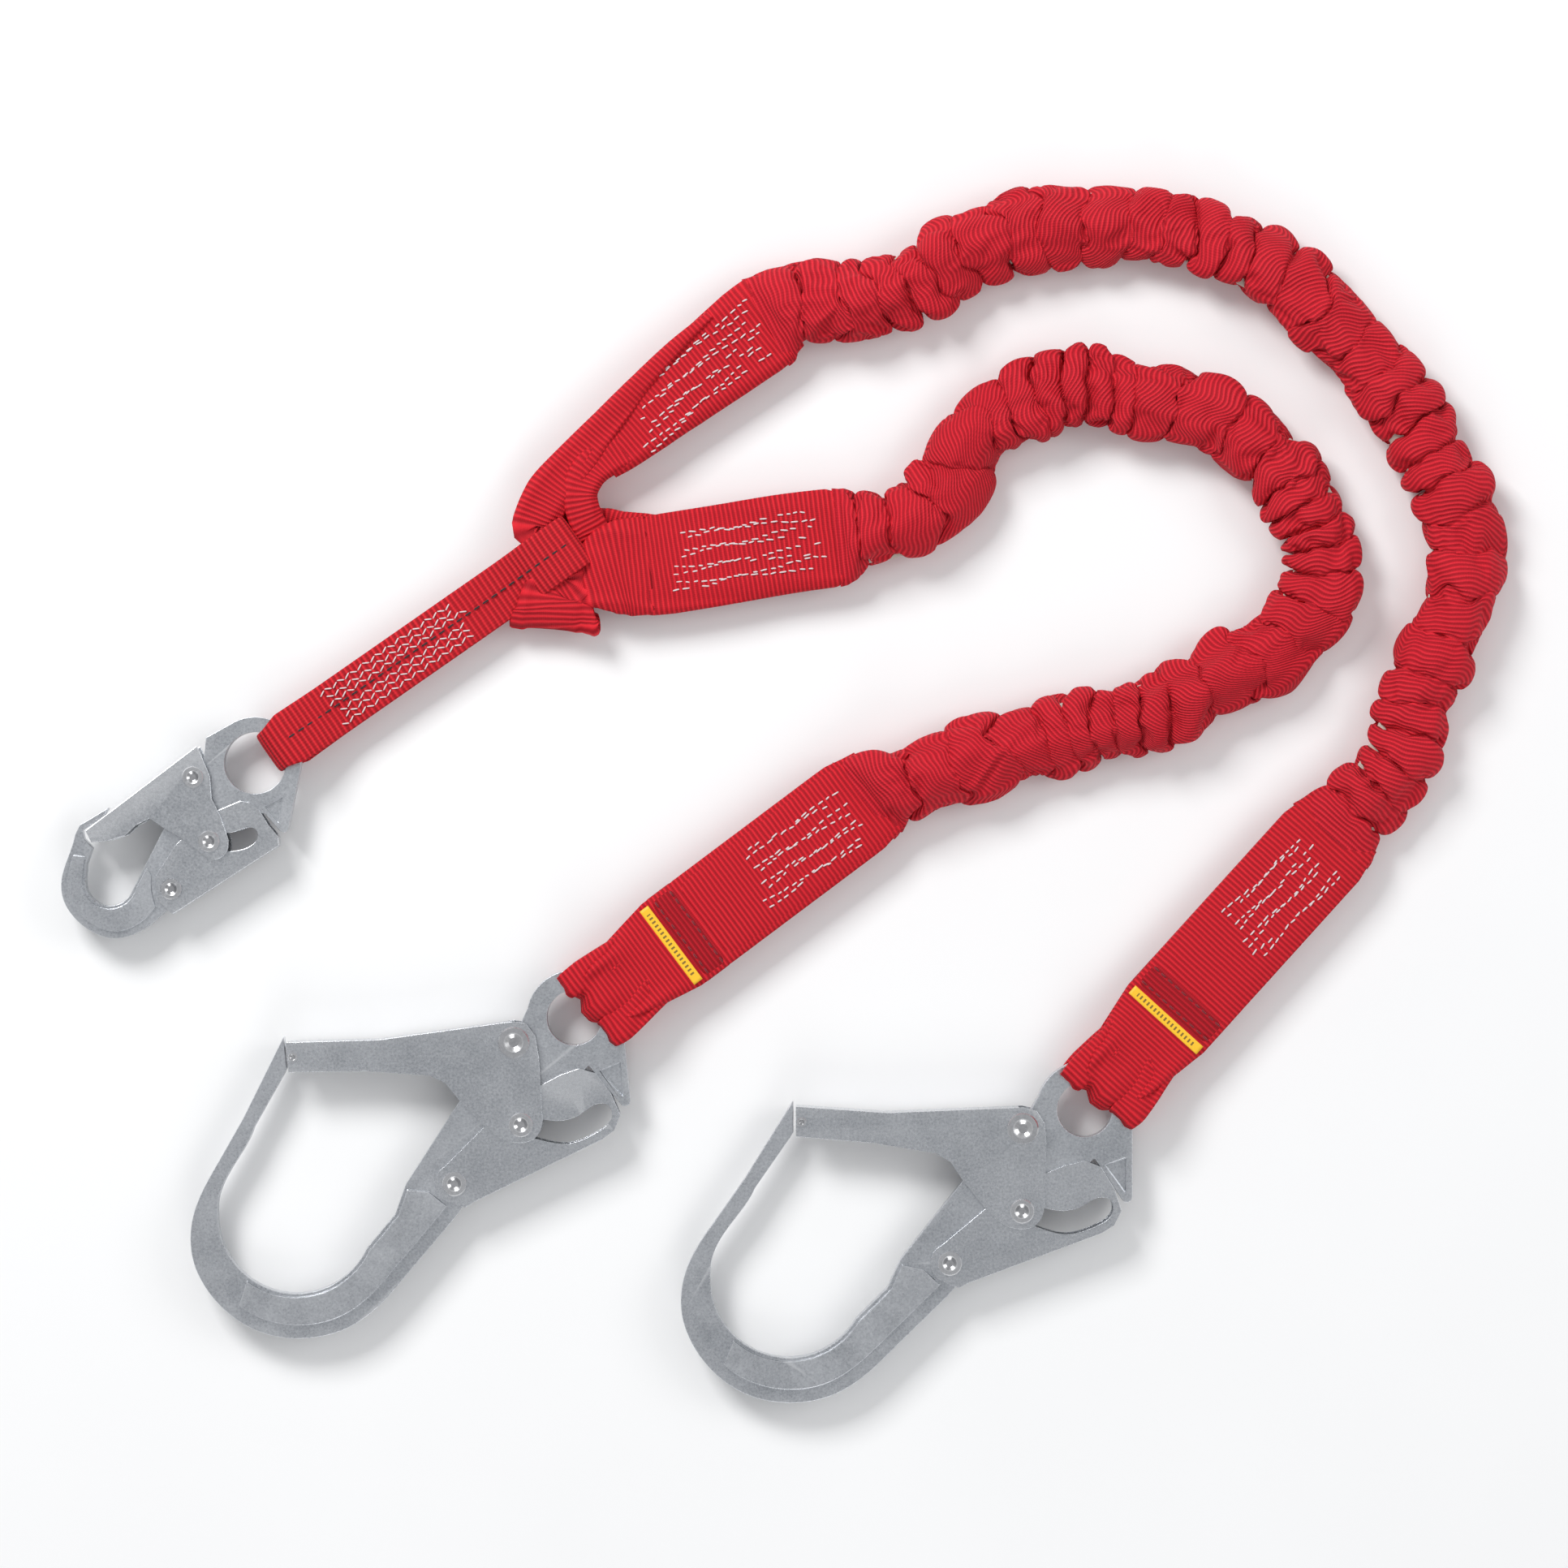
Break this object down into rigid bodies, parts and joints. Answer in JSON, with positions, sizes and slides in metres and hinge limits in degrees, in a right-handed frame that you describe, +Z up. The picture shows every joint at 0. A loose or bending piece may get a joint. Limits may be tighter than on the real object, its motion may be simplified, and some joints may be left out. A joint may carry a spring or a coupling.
{
  "type": "shock absorbing lanyard",
  "caption": "Twin-leg stretch shock absorbing lanyard: red gathered webbing legs with large rebar hooks and a self-locking snap hook on a short strap",
  "frame": {"origin": "centre of the bounding box in plan, at the lowest point of the webbing", "axes": "+Z up, off the surface the lanyard lies on; +X along its longest side, from the snap hook towards the bend of the legs; +Y completes a right-handed frame"},
  "size_m": [0.6634, 0.5637, 0.0244],
  "materials": {
    "red_webbing": "matt",
    "red_sleeve": "matt",
    "dark_red_webbing": "matt",
    "elastic_core": "matt",
    "white_thread": "matt",
    "black_thread": "matt",
    "yellow_tape": "satin",
    "zinc_forging": "satin",
    "zinc_sheet": "satin",
    "bright_rivet": "polished",
    "spring_steel": "satin"
  },
  "bodies": {
    "strap": {"strap_webbing": "red_webbing", "strap_stitching": "white_thread", "strap_tracer": "black_thread"},
    "snap_hook": {"snap_hook_body": "zinc_forging", "snap_hook_gate_pivot_rivet": "bright_rivet", "snap_hook_lever_rivet": "bright_rivet"},
    "snap_hook_gate_part": {"snap_hook_gate": "zinc_sheet", "snap_hook_stop_rivet": "bright_rivet", "snap_hook_gate_spring": "spring_steel"},
    "snap_hook_lever_part": {"snap_hook_lock_lever": "zinc_sheet", "snap_hook_lever_spring": "spring_steel"},
    "leg_a_harness_end": {"leg_a_harness_loop": "red_webbing", "leg_a_harness_stitching": "white_thread"},
    "leg_a_stretch_1": {"leg_a_sleeve_1": "red_sleeve", "leg_a_core_1": "elastic_core"},
    "leg_a_stretch_2": {"leg_a_sleeve_2": "red_sleeve", "leg_a_core_2": "elastic_core"},
    "leg_a_stretch_3": {"leg_a_sleeve_3": "red_sleeve", "leg_a_core_3": "elastic_core"},
    "leg_a_hook_end": {"leg_a_hook_loop": "red_webbing", "leg_a_hook_stitching": "white_thread", "leg_a_fold_band": "dark_red_webbing", "leg_a_impact_indicator": "yellow_tape"},
    "hook_a": {"hook_a_body": "zinc_forging", "hook_a_gate_pivot_rivet": "bright_rivet", "hook_a_lever_rivet": "bright_rivet"},
    "hook_a_gate_part": {"hook_a_gate": "zinc_sheet", "hook_a_stop_rivet": "bright_rivet", "hook_a_nose_pin": "bright_rivet", "hook_a_gate_spring": "spring_steel"},
    "hook_a_lever_part": {"hook_a_lock_lever": "zinc_sheet", "hook_a_lever_spring": "spring_steel"},
    "leg_b_harness_end": {"leg_b_harness_loop": "red_webbing", "leg_b_harness_stitching": "white_thread"},
    "leg_b_stretch_1": {"leg_b_sleeve_1": "red_sleeve", "leg_b_core_1": "elastic_core"},
    "leg_b_stretch_2": {"leg_b_sleeve_2": "red_sleeve", "leg_b_core_2": "elastic_core"},
    "leg_b_stretch_3": {"leg_b_sleeve_3": "red_sleeve", "leg_b_core_3": "elastic_core"},
    "leg_b_hook_end": {"leg_b_hook_loop": "red_webbing", "leg_b_hook_stitching": "white_thread", "leg_b_fold_band": "dark_red_webbing", "leg_b_impact_indicator": "yellow_tape"},
    "hook_b": {"hook_b_body": "zinc_forging", "hook_b_gate_pivot_rivet": "bright_rivet", "hook_b_lever_rivet": "bright_rivet"},
    "hook_b_gate_part": {"hook_b_gate": "zinc_sheet", "hook_b_stop_rivet": "bright_rivet", "hook_b_nose_pin": "bright_rivet", "hook_b_gate_spring": "spring_steel"},
    "hook_b_lever_part": {"hook_b_lock_lever": "zinc_sheet", "hook_b_lever_spring": "spring_steel"}
  },
  "joints": [
    {"name": "snap_hook_swing", "type": "hinge", "parent": "strap", "child": "snap_hook", "pos_m": [-0.22891, 0.01978, 0.0125], "axis": [-0.5713, 0.8208, 0], "range_deg": [-45, 45]},
    {"name": "snap_hook_gate_hinge", "type": "hinge", "parent": "snap_hook", "child": "snap_hook_gate_part", "pos_m": [-0.2715, 0.0032, 0.0125], "axis": [0, 0, 1], "range_deg": [0, 30]},
    {"name": "snap_hook_lever_hinge", "type": "hinge", "parent": "snap_hook", "child": "snap_hook_lever_part", "pos_m": [-0.2817, -0.0482, 0.0125], "axis": [0, 0, 1], "range_deg": [0, 9.8]},
    {"name": "leg_a_junction_hinge", "type": "hinge", "parent": "strap", "child": "leg_a_harness_end", "pos_m": [-0.10291, 0.10749, 0.0157], "axis": [0.5713, -0.8208, 0], "range_deg": [0, 30]},
    {"name": "leg_a_flex_1", "type": "hinge", "parent": "leg_a_harness_end", "child": "leg_a_stretch_1", "pos_m": [0.0053, 0.2165, 0.0125], "axis": [-0.1508, 0.9886, 0], "range_deg": [-30, 30]},
    {"name": "leg_a_flex_2", "type": "hinge", "parent": "leg_a_stretch_1", "child": "leg_a_stretch_2", "pos_m": [0.17702, 0.25628, 0.0125], "axis": [0.2246, 0.9745, 0], "range_deg": [-30, 30]},
    {"name": "leg_a_flex_3", "type": "hinge", "parent": "leg_a_stretch_2", "child": "leg_a_stretch_3", "pos_m": [0.30264, 0.14191, 0.0125], "axis": [0.9091, 0.4165, 0], "range_deg": [-30, 30]},
    {"name": "leg_a_stretch_slide", "type": "slide", "parent": "leg_a_stretch_3", "child": "leg_a_hook_end", "axis": [-0.6712, -0.7413, 0], "range_m": [0, 0.15]},
    {"name": "hook_a_swing", "type": "hinge", "parent": "leg_a_hook_end", "child": "hook_a", "pos_m": [0.14991, -0.13688, 0.0125], "axis": [-0.7413, 0.6712, 0], "range_deg": [-45, 45]},
    {"name": "hook_a_gate_hinge", "type": "hinge", "parent": "hook_a", "child": "hook_a_gate_part", "pos_m": [0.1097, -0.1582, 0.0125], "axis": [0, 0, 1], "range_deg": [0, 32]},
    {"name": "hook_a_lever_hinge", "type": "hinge", "parent": "hook_a", "child": "hook_a_lever_part", "pos_m": [0.0762, -0.2203, 0.0125], "axis": [0, 0, 1], "range_deg": [0, 9.99]},
    {"name": "leg_b_junction_hinge", "type": "hinge", "parent": "strap", "child": "leg_b_harness_end", "pos_m": [-0.10291, 0.10749, 0.0093], "axis": [0.5713, -0.8208, 0], "range_deg": [-30, 0]},
    {"name": "leg_b_flex_1", "type": "hinge", "parent": "leg_b_harness_end", "child": "leg_b_stretch_1", "pos_m": [0.0316, 0.1143, 0.0125], "axis": [-0.0564, 0.9984, 0], "range_deg": [-30, 30]},
    {"name": "leg_b_flex_2", "type": "hinge", "parent": "leg_b_stretch_1", "child": "leg_b_stretch_2", "pos_m": [0.18006, 0.1747, 0.0125], "axis": [0.2982, 0.9545, 0], "range_deg": [-30, 30]},
    {"name": "leg_b_flex_3", "type": "hinge", "parent": "leg_b_stretch_2", "child": "leg_b_stretch_3", "pos_m": [0.20827, 0.05176, 0.0125], "axis": [0.5249, -0.8512, 0], "range_deg": [-30, 30]},
    {"name": "leg_b_stretch_slide", "type": "slide", "parent": "leg_b_stretch_3", "child": "leg_b_hook_end", "axis": [-0.8003, -0.5996, 0], "range_m": [0, 0.15]},
    {"name": "hook_b_swing", "type": "hinge", "parent": "leg_b_hook_end", "child": "hook_b", "pos_m": [-0.0826, -0.09713, 0.0125], "axis": [-0.5996, 0.8003, 0], "range_deg": [-45, 45]},
    {"name": "hook_b_gate_hinge", "type": "hinge", "parent": "hook_b", "child": "hook_b_gate_part", "pos_m": [-0.1241, -0.1187, 0.0125], "axis": [0, 0, 1], "range_deg": [0, 32]},
    {"name": "hook_b_lever_hinge", "type": "hinge", "parent": "hook_b", "child": "hook_b_lever_part", "pos_m": [-0.15149, -0.18372, 0.0125], "axis": [0, 0, 1], "range_deg": [0, 9.99]}
  ],
  "couplings": [
    {"joint": "snap_hook_lever_hinge", "follows": "snap_hook_gate_hinge", "ratio": 0.32},
    {"joint": "hook_a_lever_hinge", "follows": "hook_a_gate_hinge", "ratio": 0.306},
    {"joint": "hook_b_lever_hinge", "follows": "hook_b_gate_hinge", "ratio": 0.306}
  ]
}
